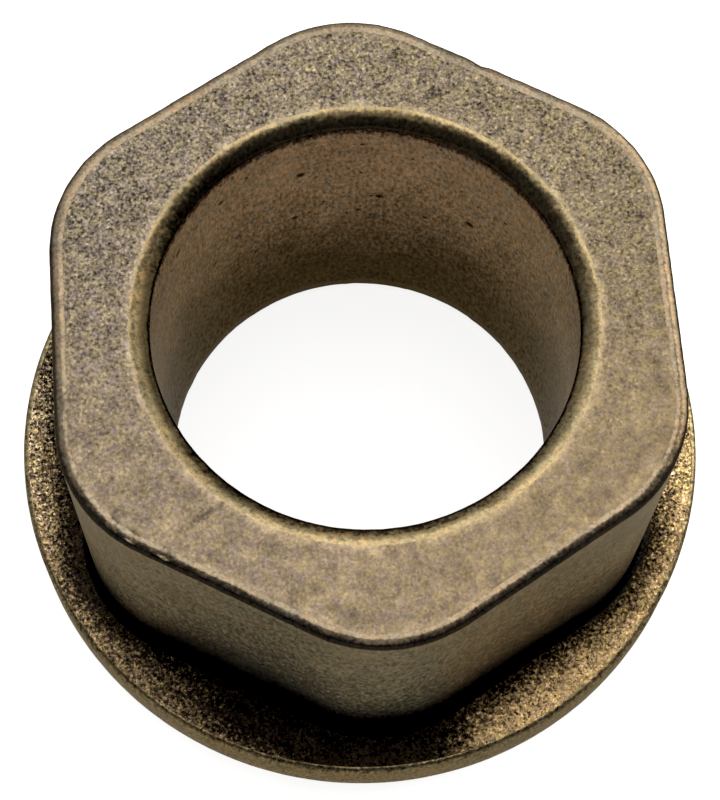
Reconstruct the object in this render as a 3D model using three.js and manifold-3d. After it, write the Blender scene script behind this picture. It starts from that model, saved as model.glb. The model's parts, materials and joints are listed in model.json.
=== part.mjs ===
// Sintered bronze flanged bushing with a hexagonal body.
// One pressed and sintered piece: a hexagon with large rounded corners stands on a thin round flange,
// and a straight bore runs through both. The hexagon sits in a matching hole and keeps the bushing from
// turning, the flange stops it going through, and a shaft turns in the oil-filled bore.
// Millimetres, +Z up. The origin is the middle of the bore at the flange's underside.

import * as THREE from 'three';
import { mergeVertices } from 'three/addons/utils/BufferGeometryUtils.js';
import Module from 'manifold-3d';

// Driving dimensions
const BORE_DIAMETER = 19.05;
const ACROSS_FLATS = 27.6;
const CORNER_RADIUS = 6.6;
const LENGTH = 19.0;
const FLANGE_DIAMETER = 34.0;
const FLANGE_THICKNESS = 3.0;

// Edge breaks that the punches leave
const BODY_EDGE_CHAMFER = 0.45;
const FLANGE_EDGE_CHAMFER = 0.35;
const BORE_CHAMFER_WIDTH = 0.65;
const BORE_CHAMFER_DEPTH = 0.55;
const FOOT_FILLET = 0.4;

// Facets
const RIM_SEGMENTS = 120;
const BORE_SEGMENTS = 96;
const CORNER_SEGMENTS = 10;

// Overlaps that let the joins and cuts pass cleanly through the metal
const BURIED_BASE = FLANGE_THICKNESS / 2;
const CUT_CLEARANCE = 1;
const FILLET_OVERLAP = 0.05;

const HEXAGON_SIDES = 6;
const SIXTH_TURN = Math.PI / 3;

// The hexagon lies with flats facing +X and -X and a corner on +Y and -Y.
// Each rounded corner is a 60 degree arc, and the straight flats join the arcs.
function hexagonOutline() {
  const arcCentreRadius = (ACROSS_FLATS / 2 - CORNER_RADIUS) / Math.cos(SIXTH_TURN / 2);
  const outline = new THREE.Shape();
  for (let corner = 0; corner < HEXAGON_SIDES; corner += 1) {
    const middle = SIXTH_TURN / 2 + corner * SIXTH_TURN;
    const centreX = arcCentreRadius * Math.cos(middle);
    const centreY = arcCentreRadius * Math.sin(middle);
    outline.absarc(centreX, centreY, CORNER_RADIUS, middle - SIXTH_TURN / 2, middle + SIXTH_TURN / 2, false);
  }
  return outline;
}

// The body runs from inside the flange to the end face, with a chamfer round the end face.
function hexagonBody() {
  const straight = LENGTH - BURIED_BASE - 2 * BODY_EDGE_CHAMFER;
  const body = new THREE.ExtrudeGeometry(hexagonOutline(), {
    depth: straight,
    bevelThickness: BODY_EDGE_CHAMFER,
    bevelSize: BODY_EDGE_CHAMFER,
    bevelOffset: -BODY_EDGE_CHAMFER,
    bevelSegments: 1,
    curveSegments: CORNER_SEGMENTS,
  });
  return body.translate(0, 0, BURIED_BASE + BODY_EDGE_CHAMFER);
}

// The small fillet where the body meets the flange, as one sloping band all round the foot.
function footFillet() {
  const reach = FOOT_FILLET + FILLET_OVERLAP;
  const foot = new THREE.ExtrudeGeometry(hexagonOutline(), {
    depth: FLANGE_THICKNESS - BURIED_BASE - reach,
    bevelThickness: reach,
    bevelSize: reach,
    bevelOffset: -FILLET_OVERLAP,
    bevelSegments: 1,
    curveSegments: CORNER_SEGMENTS,
  });
  return foot.translate(0, 0, BURIED_BASE + reach);
}

// A solid of revolution about Z from [radius, height] pairs that start and end on the axis.
function turned(profile, segments) {
  const points = profile.map(([radius, height]) => new THREE.Vector2(radius, height));
  return new THREE.LatheGeometry(points, segments).rotateX(Math.PI / 2);
}

function flangeDisc() {
  const rim = FLANGE_DIAMETER / 2;
  const profile = [
    [0, 0],
    [rim - FLANGE_EDGE_CHAMFER, 0],
    [rim, FLANGE_EDGE_CHAMFER],
    [rim, FLANGE_THICKNESS - FLANGE_EDGE_CHAMFER],
    [rim - FLANGE_EDGE_CHAMFER, FLANGE_THICKNESS],
    [0, FLANGE_THICKNESS],
  ];
  return turned(profile, RIM_SEGMENTS);
}

// The bore with a chamfer at each mouth. Its facets touch the true cylinder from outside,
// so a shaft of the nominal size clears them.
function boreCutter() {
  const wall = BORE_DIAMETER / 2 / Math.cos(Math.PI / BORE_SEGMENTS);
  const slope = BORE_CHAMFER_WIDTH / BORE_CHAMFER_DEPTH;
  const beyond = wall + BORE_CHAMFER_WIDTH + CUT_CLEARANCE * slope;
  const profile = [
    [0, -CUT_CLEARANCE],
    [beyond, -CUT_CLEARANCE],
    [wall, BORE_CHAMFER_DEPTH],
    [wall, LENGTH - BORE_CHAMFER_DEPTH],
    [beyond, LENGTH + CUT_CLEARANCE],
    [0, LENGTH + CUT_CLEARANCE],
  ];
  return turned(profile, BORE_SEGMENTS);
}

// Turns a closed geometry into a solid: shared corners are merged and needle triangles on the axis dropped.
function toSolid(wasm, geometry) {
  geometry.deleteAttribute('normal');
  geometry.deleteAttribute('uv');
  const merged = mergeVertices(geometry);
  const corners = merged.index.array;
  const triangles = [];
  for (let i = 0; i < corners.length; i += 3) {
    const [a, b, c] = [corners[i], corners[i + 1], corners[i + 2]];
    if (a !== b && b !== c && c !== a) {
      triangles.push(a, b, c);
    }
  }
  const mesh = new wasm.Mesh({
    numProp: 3,
    vertProperties: Float32Array.from(merged.attributes.position.array),
    triVerts: Uint32Array.from(triangles),
  });
  return new wasm.Manifold(mesh);
}

function toGeometry(solid) {
  const mesh = solid.getMesh();
  const geometry = new THREE.BufferGeometry();
  geometry.setAttribute('position', new THREE.BufferAttribute(mesh.vertProperties, 3));
  geometry.setIndex(new THREE.BufferAttribute(mesh.triVerts, 1));
  geometry.computeVertexNormals();
  return geometry;
}

function bushingGeometry(wasm) {
  const body = toSolid(wasm, hexagonBody());
  const foot = toSolid(wasm, footFillet());
  const flange = toSolid(wasm, flangeDisc());
  const bore = toSolid(wasm, boreCutter());
  const blank = flange.add(foot).add(body);
  return toGeometry(blank.subtract(bore));
}

function sinteredBronze() {
  return new THREE.MeshStandardMaterial({ color: 0x8a7550, roughness: 0.5, metalness: 1.0 });
}

const wasm = await Module();
wasm.setup();

const bushing = new THREE.Mesh(bushingGeometry(wasm), sinteredBronze());
bushing.name = 'hex_flange_bushing';

const part = new THREE.Group();
part.name = 'bronze_bushing';
part.add(bushing);

export default part;
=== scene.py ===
"""Looks of a sintered bronze bushing with a hexagonal body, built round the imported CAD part.

One fine mesh stands for the whole bushing. It is a closed loop of rings: up the bore, over its mouth, out
across the end face, down the hexagonal body, out across the flange, round its rim and back under it to the
bore. Lengths in this script are millimetres, and metres only where Blender needs them.
"""

import json
import math

import bpy
import numpy as np
from mathutils import Matrix, Vector


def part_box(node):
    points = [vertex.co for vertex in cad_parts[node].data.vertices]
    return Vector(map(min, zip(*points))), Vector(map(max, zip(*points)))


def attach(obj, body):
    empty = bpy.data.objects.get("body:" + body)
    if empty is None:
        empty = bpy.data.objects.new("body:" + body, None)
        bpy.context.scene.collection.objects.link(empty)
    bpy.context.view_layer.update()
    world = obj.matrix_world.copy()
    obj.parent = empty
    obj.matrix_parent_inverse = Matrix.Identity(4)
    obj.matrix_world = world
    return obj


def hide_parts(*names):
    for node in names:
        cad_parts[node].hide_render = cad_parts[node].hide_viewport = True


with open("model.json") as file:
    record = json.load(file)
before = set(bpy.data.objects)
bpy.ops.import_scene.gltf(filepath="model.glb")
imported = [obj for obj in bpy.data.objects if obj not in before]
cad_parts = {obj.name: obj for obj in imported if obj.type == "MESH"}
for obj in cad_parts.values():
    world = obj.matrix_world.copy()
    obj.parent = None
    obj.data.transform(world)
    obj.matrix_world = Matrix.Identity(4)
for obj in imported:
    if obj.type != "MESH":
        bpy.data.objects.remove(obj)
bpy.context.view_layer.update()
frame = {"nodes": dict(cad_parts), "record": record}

MM = 0.001
NODE = "hex_flange_bushing"

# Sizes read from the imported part
mounts = {m["name"]: m for m in frame["record"]["mounts"]}
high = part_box(NODE)[1]
corners = np.array([v.co for v in frame["nodes"][NODE].data.vertices]) / MM
reach = np.hypot(corners[:, 0], corners[:, 1])
LENGTH = high.z / MM
RIM_RADIUS = high.x / MM
BORE_RADIUS = float(reach.min())
FLANGE_TOP = mounts["flange_seat"]["pos_m"][2] / MM
HALF_FLATS = mounts["hex_flat_000"]["pos_m"][0] / MM
CORNER_REACH = float(reach[corners[:, 2] > LENGTH / 2].max())
SIXTH = math.pi / 3
SLANT = 1 / math.cos(SIXTH / 2)
CORNER_RADIUS = (HALF_FLATS * SLANT - CORNER_REACH) / (SLANT - 1)

# Edge breaks: width and depth of the slope, the radii that soften it at the face and at the wall,
# and how steep the surface is where it meets the wall, in degrees
BODY_EDGE = (0.39, 0.18, 1.07, 0.30, 90)
MOUTH_EDGE = (0.60, 0.50, 0.80, 0.50, 68)
RIM_EDGE = (0.16, 0.17, 0.25, 0.25, 90)
FOOT_FILLET = 0.4

# The faces fall away a little towards their edges
FALL_DEPTH = 0.040
FALL_REACH = 0.35

# A distance that stands for nowhere near
FAR = 9.0

# Slack in telling which surface a point is on: from the height of a face, from a wall, and just beside one
HAIR = 0.01
SLACK = 0.05
BESIDE = 0.1

# Dents: angle round the axis in degrees, distance from the axis, height, size and depth
DENTS = [
    (63, 13.8, 18.9, 0.30, 0.09),
    (-132, 13.8, 19.0, 0.24, 0.05),
    (-139, 14.1, 19.0, 0.26, 0.06),
    (-143, 14.3, 19.0, 0.22, 0.05),
]

# Open pits in the bore's wall, painted as dark shaded spots: angle round the axis in degrees, height and
# radius
PITS = [
    (53, 11.4, 0.24),
    (104, 14.6, 0.21),
    (149, 16.3, 0.20),
    (81, 11.4, 0.18),
    (87, 9.8, 0.15),
    (130, 16.2, 0.15),
    (106, 10.1, 0.16),
    (67, 10.0, 0.13),
]

# A short scratch on the end face: its two ends, its half width and its depth
SCRATCH = ((-7.94, -8.79), (-6.76, -8.12), 0.13, 0.035)

# Mesh density: points round a ring, rings over an edge break, and rings across each wider band
AROUND = 480
EDGE_STEPS = 6
FACE_STEPS = 38
WALL_STEPS = 30
FLANGE_STEPS = 22
BORE_STEPS = 24


def edge_section(width, depth, face_radius, wall_radius, last):
    """Steps over an edge from its face to its wall, as (distance in from the wall, drop below the face)."""
    slope = math.atan2(depth, width)
    last = math.radians(last)
    face_tangent = face_radius * math.tan(slope / 2)
    steps = []
    for turn in np.linspace(0, slope, EDGE_STEPS):
        inset = width + face_tangent - face_radius * math.sin(turn)
        steps.append((inset, face_radius * (1 - math.cos(turn))))
    arc_inset = wall_radius * (math.sin(last) - math.sin(slope))
    arc_drop = depth * (1 - arc_inset / width)
    for turn in np.linspace(slope, last, EDGE_STEPS):
        drop = arc_drop + wall_radius * (math.cos(slope) - math.cos(turn))
        steps.append((wall_radius * (math.sin(last) - math.sin(turn)), drop))
    return steps


def hexagon_outline():
    """Points and outward normals of the rounded hexagon, one for each direction round the axis."""
    direction = np.arange(AROUND) * 2 * math.pi / AROUND
    from_flat = (direction + SIXTH / 2) % SIXTH - SIXTH / 2
    flat = direction - from_flat
    half_flat = (HALF_FLATS - CORNER_RADIUS) * math.tan(SIXTH / 2)
    on_flat = np.abs(HALF_FLATS * np.tan(from_flat)) <= half_flat
    corner = flat + np.sign(from_flat) * SIXTH / 2
    off = direction - corner
    centre = (HALF_FLATS - CORNER_RADIUS) * SLANT
    corner_distance = centre * np.cos(off) + np.sqrt(CORNER_RADIUS**2 - (centre * np.sin(off)) ** 2)
    distance = np.where(on_flat, HALF_FLATS / np.cos(from_flat), corner_distance)
    points = np.stack([distance * np.cos(direction), distance * np.sin(direction)], 1)
    centres = centre * np.stack([np.cos(corner), np.sin(corner)], 1)
    flat_normals = np.stack([np.cos(flat), np.sin(flat)], 1)
    normals = np.where(on_flat[:, None], flat_normals, (points - centres) / CORNER_RADIUS)
    return direction, points, normals


DIRECTION, OUTLINE, OUTLINE_NORMAL = hexagon_outline()


def circle(radius):
    return radius * np.stack([np.cos(DIRECTION), np.sin(DIRECTION)], 1)


def hexagon(offset):
    return OUTLINE + OUTLINE_NORMAL * offset


class Rings:
    """Collects the rings of the loop, and the material of the band that ends at each of them."""

    def __init__(self):
        self.rings = []
        self.bands = []

    def add(self, flat_ring, height, band):
        self.rings.append(np.column_stack([flat_ring, np.full(AROUND, height)]))
        self.bands.append(band)

    def span(self, start, start_height, end, end_height, steps, band):
        """Rings evenly between two given ones, without the two themselves."""
        for share in np.linspace(0, 1, steps + 1)[1:-1]:
            flat_ring = start * (1 - share) + end * share
            self.add(flat_ring, start_height * (1 - share) + end_height * share, band)


def bushing_rings():
    loop = Rings()
    mouth = edge_section(*MOUTH_EDGE)
    body = edge_section(*BODY_EDGE)
    rim = edge_section(*RIM_EDGE)
    # the upper mouth and the end face
    for inset, drop in reversed(mouth):
        loop.add(circle(BORE_RADIUS + inset), LENGTH - drop, "mouth_edge")
    inner, outer = circle(BORE_RADIUS + mouth[0][0]), hexagon(-body[0][0])
    loop.span(inner, LENGTH, outer, LENGTH, FACE_STEPS, "pressed_face")
    for number, (inset, drop) in enumerate(body):
        loop.add(hexagon(-inset), LENGTH - drop, "body_edge" if number else "pressed_face")
    # the body and the fillet at its foot
    foot = FLANGE_TOP + FOOT_FILLET
    loop.span(hexagon(0), LENGTH - body[-1][1], hexagon(0), foot, WALL_STEPS, "body_wall")
    for turn in np.linspace(0, math.pi / 2, EDGE_STEPS):
        out = FOOT_FILLET * (1 - math.cos(turn))
        loop.add(hexagon(out), foot - FOOT_FILLET * math.sin(turn), "body_wall")
    # the flange and its rim
    rim_top = circle(RIM_RADIUS - rim[0][0])
    loop.span(hexagon(FOOT_FILLET), FLANGE_TOP, rim_top, FLANGE_TOP, FLANGE_STEPS, "flange_seat")
    for number, (inset, drop) in enumerate(rim):
        loop.add(circle(RIM_RADIUS - inset), FLANGE_TOP - drop, "rim" if number else "flange_seat")
    for inset, drop in reversed(rim):
        loop.add(circle(RIM_RADIUS - inset), drop, "rim")
    # the underside, the lower mouth and the bore
    inner = circle(BORE_RADIUS + mouth[0][0])
    loop.span(rim_top, 0, inner, 0, FLANGE_STEPS, "under_face")
    for number, (inset, drop) in enumerate(mouth):
        loop.add(circle(BORE_RADIUS + inset), drop, "mouth_edge" if number else "under_face")
    bore = circle(BORE_RADIUS)
    loop.span(bore, mouth[-1][1], bore, LENGTH - mouth[-1][1], BORE_STEPS, "bore_wall")
    loop.bands[0] = "bore_wall"
    return np.array(loop.rings), loop.bands


def ring_normals(rings):
    """Unit normals, pointing out, from the neighbours in both directions."""
    along = np.roll(rings, -1, 0) - np.roll(rings, 1, 0)
    around = np.roll(rings, -1, 1) - np.roll(rings, 1, 1)
    normals = np.cross(around, along)
    normals /= np.linalg.norm(normals, axis=2, keepdims=True)
    top = rings[..., 2].argmax()
    return normals if normals.reshape(-1, 3)[top, 2] > 0 else -normals


# The noise takes its lumps from a table of random numbers, picked by the place
NOISE_TABLE = 4096
PICK_STEPS = np.array((73856093, 19349663, 83492791))


def value_noise(points, size, seed):
    """Smooth noise from -1 to 1 with lumps of about the given size, in the points' units."""
    table = np.random.default_rng(seed).random(NOISE_TABLE) * 2 - 1
    cell = np.floor(points / size).astype(np.int64)
    share = points / size - cell
    share = share * share * (3 - 2 * share)
    total = np.zeros(points.shape[:-1])
    for corner in np.ndindex(2, 2, 2):
        picks = np.bitwise_xor.reduce((cell + np.array(corner)) * PICK_STEPS, axis=-1)
        weight = np.where(np.array(corner) == 1, share, 1 - share).prod(-1)
        total += weight * table[picks % NOISE_TABLE]
    return total


# Lumps and grit of the powder: their size, and the seed of their noise
LUMPS = (0.5, 11)
GRIT = (0.25, 12)

# Height of the relief on each band: of the lumps, and of the grit
RELIEF = {
    "pressed_face": (0.008, 0.008),
    "under_face": (0.008, 0.008),
    "flange_seat": (0.012, 0.016),
    "mouth_edge": (0.018, 0.012),
    "body_edge": (0.018, 0.010),
    "body_wall": (0.004, 0.002),
    "bore_wall": (0.004, 0.002),
    "rim": (0.006, 0.004),
}


def on_circle(angle, radius, height):
    """A place from its angle round the axis in degrees, its distance from the axis and its height."""
    angle = math.radians(angle)
    return (radius * math.cos(angle), radius * math.sin(angle), height)


def relief(rings, bands, upward, from_edge):
    """How far each point stands out from the plain shape."""
    heights = np.array([RELIEF[band] for band in bands])
    heights = (heights + np.roll(heights, 1, 0) + np.roll(heights, -1, 0)) / 3
    lumps = value_noise(rings, *LUMPS) * heights[:, :1]
    grit = value_noise(rings, *GRIT) * heights[:, 1:]
    fall = FALL_DEPTH * np.exp(-from_edge / FALL_REACH) * np.abs(upward)
    dents = 0
    for angle, distance, height, size, depth in DENTS:
        away = rings - on_circle(angle, distance, height)
        dents = dents + depth * np.exp(-(away**2).sum(-1) / size**2)
    half_width, depth = SCRATCH[2:]
    scratch = depth * np.exp(-(from_scratch(rings) ** 2) / half_width**2)
    return lumps + grit - fall - dents - scratch


def from_scratch(rings):
    """Distance from the scratch on the end face."""
    start, end = np.array(SCRATCH[:2])
    way = end - start
    along = np.clip((rings[..., :2] - start) @ way / (way @ way), 0, 1)
    away = np.linalg.norm(rings[..., :2] - start - along[..., None] * way, axis=-1)
    return np.where(rings[..., 2] > LENGTH - BESIDE, away, FAR)


def outside_hexagon(points):
    """Distance outside the rounded hexagon, negative inside it, for flat points."""
    direction = np.arctan2(points[..., 1], points[..., 0])
    from_flat = (direction + SIXTH / 2) % SIXTH - SIXTH / 2
    distance = np.hypot(points[..., 0], points[..., 1])
    along, across = distance * np.cos(from_flat), np.abs(distance * np.sin(from_flat))
    half_flat = (HALF_FLATS - CORNER_RADIUS) * math.tan(SIXTH / 2)
    beyond = across > half_flat
    past_corner = np.hypot(along - (HALF_FLATS - CORNER_RADIUS), across - half_flat) - CORNER_RADIUS
    return np.where(beyond, past_corner, along - HALF_FLATS)


def edge_distances(rings):
    """How far each point is from the mouths' slopes, from its face's outer edge, from the nearer of the
    bore's and the body's walls, from the foot of the body and from the scratch."""
    distance = np.hypot(rings[..., 0], rings[..., 1])
    outside = outside_hexagon(rings[..., :2])
    height = rings[..., 2]
    from_bore = distance - BORE_RADIUS
    on_end_face = height > LENGTH - HAIR
    on_seat = (outside > BESIDE) & (height > FLANGE_TOP / 2)
    from_mouth = np.where(on_seat, FAR, from_bore - MOUTH_EDGE[0])
    to_body_edge = -outside - BODY_EDGE[0]
    to_rim = RIM_RADIUS - distance - RIM_EDGE[0]
    from_outline = np.where(on_end_face, to_body_edge, to_rim)
    on_wall = (outside > -SLACK) & (outside <= FOOT_FILLET + BESIDE) & (height >= FLANGE_TOP - SLACK)
    to_foot = np.hypot(np.maximum(outside, 0), height - FLANGE_TOP)
    from_foot = np.where(on_wall, to_foot, np.where(on_seat, outside, FAR))
    return {
        "from_mouth": np.maximum(from_mouth, 0),
        "from_outline": np.maximum(from_outline, 0),
        "from_side": np.minimum(np.abs(from_bore), np.abs(outside)),
        "from_foot": from_foot,
        "from_scratch": from_scratch(rings),
    }


def bushing_mesh(materials):
    rings, bands = bushing_rings()
    distances = edge_distances(rings)
    from_edge = np.minimum(distances["from_mouth"], distances["from_outline"])
    normals = ring_normals(rings)
    rings = rings + normals * relief(rings, bands, normals[..., 2], from_edge)[..., None]
    count = len(rings)
    index = np.arange(count * AROUND).reshape(count, AROUND)
    down, right = np.roll(index, -1, 0), np.roll(index, -1, 1)
    quads = np.stack([index, down, np.roll(down, -1, 1), right], 2).reshape(-1, 4)
    mesh = bpy.data.meshes.new("bronze_bushing")
    mesh.from_pydata(rings.reshape(-1, 3) * MM, [], quads.tolist())
    names = list(materials)
    for name in names:
        mesh.materials.append(materials[name])
    next_bands = bands[1:] + bands[:1]
    slots = np.repeat([names.index(band) for band in next_bands], AROUND)
    mesh.polygons.foreach_set("material_index", slots)
    mesh.polygons.foreach_set("use_smooth", np.ones(len(quads), bool))
    for name, values in distances.items():
        layer = mesh.attributes.new(name, "FLOAT", "POINT")
        layer.data.foreach_set("value", values.astype(np.float32).ravel())
    mesh.update()
    piece = bpy.data.objects.new("bronze_bushing", mesh)
    bpy.context.scene.collection.objects.link(piece)
    return piece


# Where the noise of one pattern is read beside that of another, so that the two do not match
BESIDE_PATTERN = (31.7, 12.3, 57.1)

# The front of the part, a little to its left, where oily dust gathers and the painted shadow of the body is
# widest
DUSTY_SHADED_FRONT = (-0.26, -0.97, 0.0)


class Nodes:
    """Short ways to add and join shader nodes in one material."""

    def __init__(self, name):
        self.material = bpy.data.materials.new(name)
        self.material.use_nodes = True
        self.tree = self.material.node_tree
        self.shader = self.tree.nodes["Principled BSDF"]

    def add(self, kind, inputs=None, **settings):
        node = self.tree.nodes.new("ShaderNode" + kind)
        for name, value in settings.items():
            setattr(node, name, value)
        for name, value in (inputs or {}).items():
            self.feed(node.inputs[name], value)
        return node

    def feed(self, socket, value):
        if isinstance(value, bpy.types.NodeSocket):
            self.tree.links.new(value, socket)
        else:
            socket.default_value = value

    def place(self, stretch=(1, 1, 1)):
        """The point on the object, in millimetres."""
        spot = self.add("TexCoord").outputs["Object"]
        return self.add("Mapping", {"Vector": spot, "Scale": [s / MM for s in stretch]}).outputs[0]

    def place_beside(self):
        """The same place read from another part of the noise."""
        return self.vector("ADD", self.place(), BESIDE_PATTERN)

    def along(self, axis):
        """How far the place is along one axis, in millimetres."""
        return self.add("SeparateXYZ", {"Vector": self.place()}).outputs[axis]

    def frontness(self):
        """How far the place is towards the front, where the dust and the painted shadow are widest, in
        millimetres.
        """
        inputs = {0: self.place(), 1: DUSTY_SHADED_FRONT}
        return self.add("VectorMath", inputs, operation="DOT_PRODUCT").outputs["Value"]

    def away(self, spot):
        """How far the place is from a spot, in millimetres."""
        return self.add("VectorMath", {0: self.place(), 1: spot}, operation="DISTANCE").outputs["Value"]

    def attribute(self, name):
        return self.add("Attribute", attribute_name=name).outputs["Fac"]

    def math(self, operation, first, second=0.0, third=0.0):
        return self.add("Math", {0: first, 1: second, 2: third}, operation=operation).outputs[0]

    def times(self, first, second):
        return self.math("MULTIPLY", first, second)

    def less(self, first, second):
        return self.math("SUBTRACT", first, second)

    def swing(self, pattern, share, middle=0.0):
        """A share of a 0..1 pattern's swing round its half, added to a middle value."""
        return self.math("MULTIPLY_ADD", self.less(pattern, 0.5), share, middle)

    def clamped(self, value):
        return self.math("MINIMUM", self.math("MAXIMUM", value, 0.0), 1.0)

    def vector(self, operation, first, second=(0, 0, 0)):
        return self.add("VectorMath", {0: first, 1: second}, operation=operation).outputs[0]

    def noise(self, place, size, detail=2.0, roughness=0.5, output="Fac"):
        inputs = {"Vector": place, "Scale": 1 / size, "Detail": detail, "Roughness": roughness}
        return self.add("TexNoise", inputs).outputs[output]

    def cells(self, density):
        """Cells, so many to a millimetre: the distance from a cell's centre, and its random colour."""
        node = self.add("TexVoronoi", {"Vector": self.place(), "Scale": density, "Randomness": 1.0})
        return node.outputs["Distance"], node.outputs["Color"]

    def parts(self, colour):
        """The three numbers of a random colour."""
        return self.add("SeparateColor", {"Color": colour}).outputs

    def span(self, value, start, end, low=0.0, high=1.0):
        """Maps start..end smoothly to low..high."""
        inputs = {"Value": value, "From Min": start, "From Max": end, "To Min": low, "To Max": high}
        return self.add("MapRange", inputs, interpolation_type="SMOOTHSTEP").outputs["Result"]

    def ramp(self, value, stops):
        node = self.add("ValToRGB", {"Fac": value})
        elements = node.color_ramp.elements
        while len(elements) < len(stops):
            elements.new(0.5)
        for element, (position, colour) in zip(elements, stops):
            element.position = position
            element.color = (*colour, 1)
        return node.outputs["Color"]

    def mix(self, share, first, second):
        node = self.add("Mix", {"Factor": share}, data_type="RGBA")
        colours = [socket for socket in node.inputs if socket.type == "RGBA"]
        for socket, value in zip(colours, (first, second)):
            self.feed(socket, (*value, 1) if isinstance(value, tuple) else value)
        return [socket for socket in node.outputs if socket.type == "RGBA"][0]

    def tinted(self, colour, tint):
        return self.vector("MULTIPLY", colour, tint)

    def scaled(self, colour, factor):
        """A colour times a number."""
        return self.tinted(colour, self.add("CombineXYZ", {0: factor, 1: factor, 2: factor}).outputs[0])

    def centred(self, colour, amount):
        """A random colour as a vector round zero."""
        lean = self.vector("SUBTRACT", colour, (0.5, 0.5, 0.5))
        return self.vector("MULTIPLY", lean, (amount, amount, amount))

    def leaning(self, lean, share):
        """The surface's normal, leaning by a share of a vector."""
        normal = self.add("NewGeometry").outputs["Normal"]
        return self.vector("NORMALIZE", self.vector("ADD", normal, self.scaled(lean, share)))

    def bronze(self, colour, roughness, normal):
        """Joins up the shader of a metal and returns the material."""
        self.feed(self.shader.inputs["Base Color"], colour)
        self.shader.inputs["Metallic"].default_value = 1.0
        self.feed(self.shader.inputs["Roughness"], roughness)
        self.feed(self.shader.inputs["Normal"], normal)
        return self.material


# Tints of the powder: brown grey, brown, tan, olive gold and pale gold
GRAIN_HUES = [
    (0.00, (0.178, 0.143, 0.109)),
    (0.25, (0.184, 0.145, 0.102)),
    (0.50, (0.199, 0.155, 0.106)),
    (0.75, (0.203, 0.165, 0.093)),
    (1.00, (0.228, 0.178, 0.108)),
]
# The colour of the burnished bands: burnished metal, brighter than the powder as a painted highlight along
# the edges
BURNISHED_AND_HIGHLIT = (0.430, 0.336, 0.215)

# The powder goes from worn, at the front, to fresh, at the back: the two places, how strong its grit is at
# each, and the painted light that brightens it where it is quite smooth, with what that loses to full grit
WORN_AT, FRESH_AT = -11.0, 9.0
WORN_GRIT, FRESH_GRIT = 0.25, 1.10
SMOOTH_PAINTED_LIGHT, GRIT_PAINTED_LIGHT_LOSS = 1.26, 0.27

# A slight drift of colour over the powder: from front to back, and from left to right as a painted tint of
# light, warmer at the right like the warm lamp there
FRONT_TINT, BACK_TINT = (1.03, 0.99, 0.95), (0.98, 1.0, 1.03)
LEFT_TINT, RIGHT_TINT = (0.99, 1.0, 1.07), (1.02, 1.0, 0.93)
SIDE_REACH = 15.0

# Burnished bands along the edges: how much of the grit is worn off at a mouth and at the outer edge, where
# the band ends and where the face begins, and how far its border wavers
MOUTH_WEAR, OUTLINE_WEAR = 1.7, 1.15
BAND_END, FACE_START = -0.70, 0.10
BORDER_WAVER = 1.3

# The darkest that a pore is, against the powder round it, and how many flakes lie along a grain
PORE_LEAST = 0.17
FLAKES_PER_GRAIN = 1.6

# How much the flakes, the clouds and the patches between them in size change the brightness
FLAKE_SHARE, CLOUD_SHARE, PATCH_SHARE = 0.16, 1.3, 0.6

# How much the tint pattern and the grains change the hue
TINT_SHARE, GRAIN_HUE_SHARE = 3.0, 1.0

# The flakes' random numbers above which they begin to be brightened as painted glints, and are brightened in
# full
GLINT_PAINT_START, GLINT_PAINT_FULL = 0.84, 0.94

# How much the roughness varies from flake to flake
FLAKE_ROUGHNESS = 0.16

# The soiled scratch: how ragged its border is, how far it reaches and how dark it is
SOIL_RAGGED, SOIL_REACH, SOIL_DEPTH = 0.5, 0.26, 0.50


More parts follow.
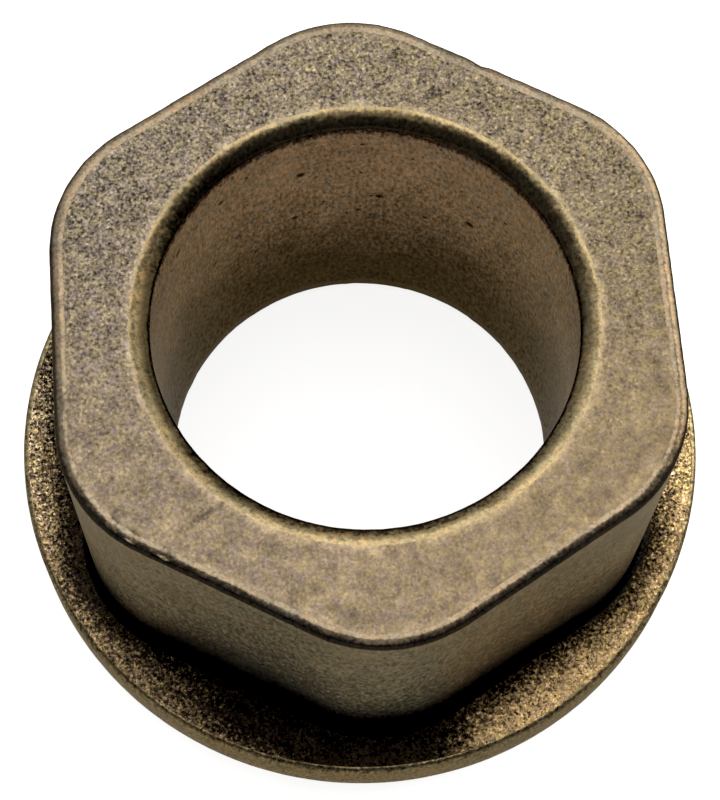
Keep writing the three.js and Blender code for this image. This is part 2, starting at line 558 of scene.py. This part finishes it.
def pressed_powder(
    name, grain, contrast, lean, roughness, glints, painted_glint, burnish, tint=(1, 1, 1), dust_and_shadow=False
):
    """Grains of many tints that lean every way, with dark pores, burnished along the edges under a painted
    highlight.
    """
    n = Nodes(name)
    place = n.place()
    grains = n.noise(place, size=grain, detail=3.0, roughness=0.65)
    tints = n.noise(n.place_beside(), size=0.50, detail=3.0, roughness=0.62)
    clouds = n.noise(place, size=1.2, detail=4.0, roughness=0.65)
    patches = n.noise(place, size=0.55, detail=1.0, roughness=0.5)
    waves = n.noise(place, size=grain, output="Color")
    flake_colour = n.cells(FLAKES_PER_GRAIN / grain)[1]
    random = n.parts(flake_colour)
    # the powder is worn smoother towards -Y, and brighter there as painted light
    fresh = n.span(n.along("Y"), WORN_AT, FRESH_AT, WORN_GRIT, FRESH_GRIT)
    # burnished bands along the edges, with a wavering inner border
    waver = n.times(n.noise(place, size=0.9, detail=4.0, roughness=0.7), -BORDER_WAVER)
    mouth_grit = 1 - MOUTH_WEAR * burnish
    outline_grit = n.math("MULTIPLY_ADD", fresh, burnish, 1 - OUTLINE_WEAR * burnish)
    bands = []
    for edge, grit in (("from_mouth", mouth_grit), ("from_outline", outline_grit)):
        bands.append(n.span(n.math("ADD", waver, n.attribute(edge)), BAND_END, FACE_START, grit, 1.0))
    matte = n.math("MINIMUM", bands[0], bands[1])
    gritty = n.times(matte, fresh)
    # light and dark grains, over softer clouds
    value = n.swing(random[0], FLAKE_SHARE, n.less(grains, 0.5))
    value = n.times(n.times(value, contrast), gritty)
    cloud = n.swing(patches, PATCH_SHARE, n.swing(clouds, CLOUD_SHARE))
    factor = n.math("MAXIMUM", n.math("ADD", n.math("ADD", value, cloud), 1.0), PORE_LEAST)
    # painted light: brighter towards -Y, where the powder is smoother
    factor = n.times(factor, n.math("MULTIPLY_ADD", fresh, -GRIT_PAINTED_LIGHT_LOSS, SMOOTH_PAINTED_LIGHT))
    # a few flakes of the powder are brightened as painted glints
    painted_flake_glint = n.times(n.span(random[1], GLINT_PAINT_START, GLINT_PAINT_FULL, 0.0, painted_glint), gritty)
    factor = n.times(factor, n.math("ADD", painted_flake_glint, 1.0))
    # the scratch is soiled
    soiled = n.swing(grains, SOIL_RAGGED, n.attribute("from_scratch"))
    factor = n.times(factor, n.span(soiled, 0.0, SOIL_REACH, SOIL_DEPTH, 1.0))
    # oily dust and painted shadow round the foot of the body
    if dust_and_shadow:
        factor = n.times(factor, flange_dust_and_shadow(n, grains))
    hue = n.clamped(n.swing(grains, GRAIN_HUE_SHARE, n.swing(tints, TINT_SHARE, 0.5)))
    colour = n.tinted(n.mix(matte, BURNISHED_AND_HIGHLIT, n.ramp(hue, GRAIN_HUES)), tint)
    colour = n.tinted(colour, n.mix(n.span(n.along("Y"), WORN_AT, FRESH_AT), FRONT_TINT, BACK_TINT))
    colour = n.tinted(colour, n.mix(n.span(n.along("X"), -SIDE_REACH, SIDE_REACH), LEFT_TINT, RIGHT_TINT))
    lean_way = n.vector("ADD", n.centred(waves, lean), n.centred(flake_colour, glints))
    gloss = n.swing(random[2], FLAKE_ROUGHNESS, roughness)
    return n.bronze(n.scaled(colour, factor), gloss, n.leaning(lean_way, gritty))


def flange_dust_and_shadow(n, grains):
    """Darkening round the foot of the body, partly oily dust and partly painted shadow of the body, widest at
    the front, a little wider at the left.
    """
    ragged = 3.6
    edge = n.swing(grains, ragged, n.attribute("from_foot"))
    # painted shadow of the body, widest at the front and a little wider at the left
    edge = n.less(edge, n.span(n.frontness(), start=12.6, end=16.6, low=0.0, high=1.9))
    edge = n.less(edge, n.span(n.along("X"), start=-10.5, end=-15.5, low=0.0, high=0.6))
    return n.span(edge, start=0.5, end=2.5, low=0.04, high=1.0)


# What darkens each burnished band with painted shade, or with dust and painted shade: a function of its
# nodes, its clouds and its grain that gives a factor


def wall_dust_and_shade(n, clouds, grain):
    """Darkening of the foot of the body, partly oily dust and partly painted shade, darkest in the fillet and
    reaching higher at the front.
    """
    start, end, depth, ragged = 0.45, 5.5, 0.06, 2.0
    edge = n.swing(clouds, ragged, n.attribute("from_foot"))
    # painted shadow that reaches higher at the front
    edge = n.math("ADD", edge, n.span(n.frontness(), start=5.0, end=12.0, low=3.0, high=0.0))
    # painted shade in the fillet at the foot
    fillet = n.span(n.attribute("from_foot"), start, 2 * start, depth, 1.0)
    return n.times(n.span(edge, start, end, depth, 1.0), fillet)


def bore_shade(n, clouds, grain):
    """Painted shade on the bore: darker towards its foot, with a ragged border, and in its fine pores and in
    its open pits.
    """
    grain_ragged, cloud_ragged = 9.0, 4.0
    level = n.swing(grain, grain_ragged, n.swing(clouds, cloud_ragged, n.along("Z")))
    shade = n.span(level, start=4.0, end=16.0, low=0.13, high=1.0)
    spacing, depth = 0.6, 0.95
    distance, colour = n.cells(1 / spacing)
    chosen = n.span(n.parts(colour)[0], start=0.84, end=0.86)
    pore = n.times(n.span(distance, start=0.20, end=0.13), chosen)
    shade = n.times(shade, n.math("MULTIPLY_ADD", pore, -depth, 1.0))
    for angle, height, radius in PITS:
        away = n.away(on_circle(angle, BORE_RADIUS, height))
        shade = n.times(shade, n.span(away, start=0.6 * radius, end=1.4 * radius, low=0.04, high=1.0))
    return shade


def mouth_shade(n, clouds, grain):
    """Painted shade on a mouth's slope: darker towards the bore, more widely at the left."""
    widening = n.span(n.along("X"), start=-2.0, end=-9.0, low=0.0, high=0.42)
    edge = n.less(n.attribute("from_side"), widening)
    return n.span(edge, start=-0.25, end=0.76, low=0.10, high=1.0)


def body_edge_shade(n, clouds, grain):
    """Painted shade on the body's edge: darker where it meets the wall."""
    return n.span(n.attribute("from_side"), start=0.03, end=0.31, low=0.22, high=1.0)


# The cool and the warm end of the burnished metal's tints, and the tint of its gloss at glancing angles
COOL, WARM = (0.84, 1.04, 1.22), (1.17, 0.97, 0.78)
GLOSS_TINT = (0.80, 0.68, 0.50, 1)

# How its patterns are drawn out: smears and streaks up the wall, and bands round it
SMEARED = (1, 1, 0.5)
STREAKED = (1, 1, 0.08)
BANDED = (0.25, 0.25, 2.5)

# How much the streaks, the bands and the clouds change its brightness, and the bands its warmth
STREAK_SHARE, BAND_SHARE, CLOUDING_SHARE = 0.5, 0.6, 0.8
BAND_WARMTH = 0.8

# How much the roughness varies over it, the size of its waves, and the darkest that its mottling is
GRAIN_ROUGHNESS = 0.2
WAVE_SIZE = 0.18
MOTTLE_LEAST = 0.12


def burnished_bronze(name, colour, roughness, mottle, lean, tinting, shade=None, browning=0.0):
    """A wall that slid along the die: smeared smooth, mottled, finely streaked, and browner towards +Y."""
    n = Nodes(name)
    smeared = n.place(SMEARED)
    streaks = n.noise(n.place(STREAKED), size=0.25, detail=4.0, roughness=0.6)
    bands = n.noise(n.place(BANDED), size=1.0, detail=4.0, roughness=0.7)
    clouds = n.noise(n.place(), size=2.2, detail=4.0, roughness=0.6)
    grain = n.noise(smeared, size=0.17, detail=3.0, roughness=0.7)
    tints = n.noise(n.place_beside(), size=0.45, detail=3.0, roughness=0.7)
    waves = n.noise(smeared, WAVE_SIZE, output="Color")
    factor = n.swing(bands, BAND_SHARE, n.swing(streaks, STREAK_SHARE, 1.0))
    factor = n.swing(grain, mottle, n.swing(clouds, CLOUDING_SHARE, factor))
    factor = n.math("MAXIMUM", factor, MOTTLE_LEAST)
    if shade:
        factor = n.times(factor, shade(n, clouds, grain))
    warmth = n.swing(bands, BAND_WARMTH, n.swing(tints, tinting, 0.5))
    warmth = n.clamped(n.math("MULTIPLY_ADD", n.along("Y"), browning, warmth))
    colour = n.tinted(n.mix(warmth, COOL, WARM), colour)
    n.shader.inputs["Specular Tint"].default_value = GLOSS_TINT
    gloss = n.swing(grain, GRAIN_ROUGHNESS, roughness)
    return n.bronze(n.scaled(colour, factor), gloss, n.leaning(n.centred(waves, lean), 1.0))


def face_bronze(name):
    return pressed_powder(
        name, grain=0.16, contrast=3.7, lean=0.62, roughness=0.40, glints=0.10, painted_glint=0.42, burnish=0.5
    )


def seat_bronze(name):
    return pressed_powder(
        name, grain=0.16, contrast=6.0, lean=1.1, roughness=0.30, glints=1.0, painted_glint=1.3, burnish=0.0,
        tint=(2.22, 2.05, 1.68), dust_and_shadow=True
    )


def edge_bronze(name, colour, shade):
    return burnished_bronze(name, colour, roughness=0.28, mottle=2.0, lean=0.35, tinting=1.2, shade=shade)


def wall_bronze(name):
    colour = (0.385, 0.337, 0.232)
    return burnished_bronze(name, colour, roughness=0.32, mottle=2.0, lean=0.45, tinting=1.7, shade=wall_dust_and_shade)


def bore_bronze(name):
    colour = (0.404, 0.303, 0.204)
    return burnished_bronze(
        name, colour, roughness=0.30, mottle=3.2, lean=0.60, tinting=3.4, shade=bore_shade, browning=0.05
    )


def rim_bronze(name):
    return burnished_bronze(name, (0.390, 0.300, 0.155), roughness=0.32, mottle=4.5, lean=0.6, tinting=1.2)


def bronze_materials():
    """One material for each band of the surface, under the band's name."""
    return {
        "pressed_face": face_bronze("pressed_face"),
        "under_face": face_bronze("under_face"),
        "flange_seat": seat_bronze("flange_seat"),
        "mouth_edge": edge_bronze("mouth_edge", (0.370, 0.282, 0.148), mouth_shade),
        "body_edge": edge_bronze("body_edge", (0.270, 0.211, 0.140), body_edge_shade),
        "body_wall": wall_bronze("body_wall"),
        "bore_wall": bore_bronze("bore_wall"),
        "rim": rim_bronze("rim"),
    }


# The camera: how steeply it looks down, how far it is swung to the left and rolled, its lens and its distance
# from the middle of the part, and the place beside that middle at which it aims
CAMERA_ELEVATION = math.radians(69.57)
CAMERA_SWING = Matrix.Rotation(math.radians(-6.63), 3, "Z")
CAMERA_ROLL = math.radians(2.31)
CAMERA_LENS = 113.5
CAMERA_SENSOR = 36.0
CAMERA_DISTANCE = 108.66
CAMERA_AIM = Vector((-0.105, -0.352, 0))
CAMERA_NEAREST = 1.0
TOWARD_CAMERA = CAMERA_SWING @ Vector((0, -math.cos(CAMERA_ELEVATION), math.sin(CAMERA_ELEVATION)))
MIDDLE = Vector((0, 0, LENGTH / 2))


def camera():
    """Looks steeply down on the bushing from the front, a little from the left and rolled."""
    data = bpy.data.cameras.new("camera")
    data.sensor_fit = "HORIZONTAL"
    data.sensor_width = CAMERA_SENSOR
    data.lens = CAMERA_LENS
    data.clip_start = CAMERA_NEAREST * MM
    item = bpy.data.objects.new("camera", data)
    place = MIDDLE + TOWARD_CAMERA * CAMERA_DISTANCE
    forward = (MIDDLE + CAMERA_SWING @ CAMERA_AIM - place).normalized()
    level = forward.cross(Vector((0, 0, 1))).normalized()
    upright = level.cross(forward)
    right = level * math.cos(CAMERA_ROLL) + upright * math.sin(CAMERA_ROLL)
    up = upright * math.cos(CAMERA_ROLL) - level * math.sin(CAMERA_ROLL)
    turn = Matrix((right, up, -forward)).transposed().to_4x4()
    item.matrix_world = Matrix.Translation(place * MM) @ turn
    bpy.context.scene.collection.objects.link(item)
    bpy.context.scene.camera = item


LAMP_DISTANCE = 300


def softbox(name, direction, size, radiance, colour=(1, 1, 1)):
    """A rectangular lamp that shines as bright as a surface of that radiance, in the given direction."""
    data = bpy.data.lights.new(name, "AREA")
    data.shape = "RECTANGLE"
    data.size = size[0] * MM
    data.size_y = size[1] * MM
    data.energy = radiance * math.pi * data.size * data.size_y
    data.color = colour
    item = bpy.data.objects.new(name, data)
    middle = MIDDLE * MM
    item.location = middle + Vector(direction).normalized() * LAMP_DISTANCE * MM
    item.rotation_euler = (middle - item.location).to_track_quat("-Z", "Y").to_euler()
    item.visible_camera = False
    bpy.context.scene.collection.objects.link(item)


def add_world_node(tree, kind, inputs, **settings):
    """Adds a node to the world's shader and joins or sets its inputs."""
    node = tree.nodes.new("ShaderNode" + kind)
    for name, value in settings.items():
        setattr(node, name, value)
    for name, value in inputs.items():
        if isinstance(value, bpy.types.NodeSocket):
            tree.links.new(value, node.inputs[name])
        else:
            node.inputs[name].default_value = value
    return node


def glow(tree, direction, start, end, low, high, both_ways=False):
    """A glow that goes from low to high as one looks towards a direction, or towards its opposite too."""
    view = tree.nodes.new("ShaderNodeTexCoord").outputs["Generated"]
    inputs = {0: view, 1: Vector(direction).normalized()}
    facing = add_world_node(tree, "VectorMath", inputs, operation="DOT_PRODUCT").outputs["Value"]
    if both_ways:
        facing = add_world_node(tree, "Math", {0: facing}, operation="ABSOLUTE").outputs[0]
    inputs = {"Value": facing, "From Min": start, "From Max": end, "To Min": low, "To Max": high}
    return add_world_node(tree, "MapRange", inputs, interpolation_type="SMOOTHSTEP").outputs["Result"]


TABLE_GLOW = 0.31
WALL_GLOW = 0.22
SKY_LEAST, SKY_GLOW = 0.04, 0.65
KEY_COLOUR = (1.0, 0.98, 0.94)
WARM_LIGHT = (1.0, 0.93, 0.80)
BLACK_POINT = (0.005, 0.004, 0.002)


def studio():
    """Soft boxes round the part, and a soft glow behind, below and at the horizon for it to mirror."""
    softbox("front_box", TOWARD_CAMERA, size=(120, 120), radiance=0.40, colour=KEY_COLOUR)
    softbox("key_box", (0.03, 0.20, 0.98), size=(160, 160), radiance=1.60, colour=KEY_COLOUR)
    softbox("back_box", (0.05, 0.66, 0.75), size=(260, 140), radiance=1.2)
    softbox("right_box", (0.80, 0.42, 0.42), size=(260, 220), radiance=2.3, colour=WARM_LIGHT)
    softbox("left_box", (-0.62, 0.52, 0.59), size=(200, 200), radiance=0.3)
    world = bpy.data.worlds.new("studio")
    world.use_nodes = True
    tree = world.node_tree
    sky = glow(tree, (0.1, 0.75, 0.65), start=0.3, end=0.9, low=SKY_LEAST, high=SKY_GLOW)
    table = glow(tree, (0, 0, -1), start=-0.05, end=0.6, low=0.0, high=TABLE_GLOW)
    horizon = glow(tree, (0, 0, 1), start=0.15, end=0.55, low=WALL_GLOW, high=0.0, both_ways=True)
    total = add_world_node(tree, "Math", {0: sky, 1: table}, operation="ADD").outputs[0]
    total = add_world_node(tree, "Math", {0: total, 1: horizon}, operation="ADD").outputs[0]
    tree.links.new(total, tree.nodes["Background"].inputs["Strength"])
    tree.nodes["Background"].inputs["Color"].default_value = (1, 1, 1, 1)
    bpy.context.scene.world = world
    # deep shadows are pure black
    view = bpy.context.scene.view_settings
    view.view_transform = "Standard"
    view.use_curve_mapping = True
    view.curve_mapping.black_level = BLACK_POINT


# The floor: its flat rings, the radius of its curve up, the height where it ends, its sides and steps, how
# far it lies under the part, and its white paper
FLOOR_RINGS = (100, 500, 1500)
FLOOR_CURVE = 500
FLOOR_TOP = 2500
FLOOR_SIDES = 96
FLOOR_CURVE_STEPS = 8
FLOOR_GAP = 0.02
PAPER_WHITE = (0.80, 0.80, 0.80, 1)
PAPER_ROUGHNESS = 0.9
PAPER_GLOW = 0.85


def floor_profile():
    """Distance from the axis and height of each ring of the floor."""
    flat_end = FLOOR_RINGS[-1]
    profile = [(distance, 0) for distance in FLOOR_RINGS]
    for turn in np.linspace(0, math.pi / 2, FLOOR_CURVE_STEPS + 1)[1:]:
        profile.append((flat_end + FLOOR_CURVE * math.sin(turn), FLOOR_CURVE * (1 - math.cos(turn))))
    profile.append((flat_end + FLOOR_CURVE, FLOOR_TOP))
    return profile


def floor():
    """A white table that curves up far away all round. The bronze mirrors the world below it instead."""
    profile = floor_profile()
    count = FLOOR_SIDES
    points = [(0, 0, 0)]
    for distance, height in profile:
        for side in range(count):
            angle = side * 2 * math.pi / count
            points.append((distance * math.cos(angle) * MM, distance * math.sin(angle) * MM, height * MM))
    faces = []
    for side in range(count):
        after = (side + 1) % count
        faces.append((0, 1 + side, 1 + after))
        for ring in range(len(profile) - 1):
            start = 1 + ring * count
            faces.append((start + side, start + count + side, start + count + after, start + after))
    mesh = bpy.data.meshes.new("floor")
    mesh.from_pydata(points, [], faces)
    mesh.polygons.foreach_set("use_smooth", np.ones(len(faces), bool))
    item = bpy.data.objects.new("floor", mesh)
    bpy.context.scene.collection.objects.link(item)
    n = Nodes("floor_paper")
    n.shader.inputs["Base Color"].default_value = PAPER_WHITE
    n.shader.inputs["Roughness"].default_value = PAPER_ROUGHNESS
    n.shader.inputs["Emission Color"].default_value = (1, 1, 1, 1)
    n.shader.inputs["Emission Strength"].default_value = PAPER_GLOW
    mesh.materials.append(n.material)
    item.location.z = -FLOOR_GAP * MM
    item.visible_glossy = False
    item.visible_diffuse = False
    item.visible_shadow = False


camera()
studio()
floor()
bushing = bushing_mesh(bronze_materials())
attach(bushing, "root")
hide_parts(NODE)
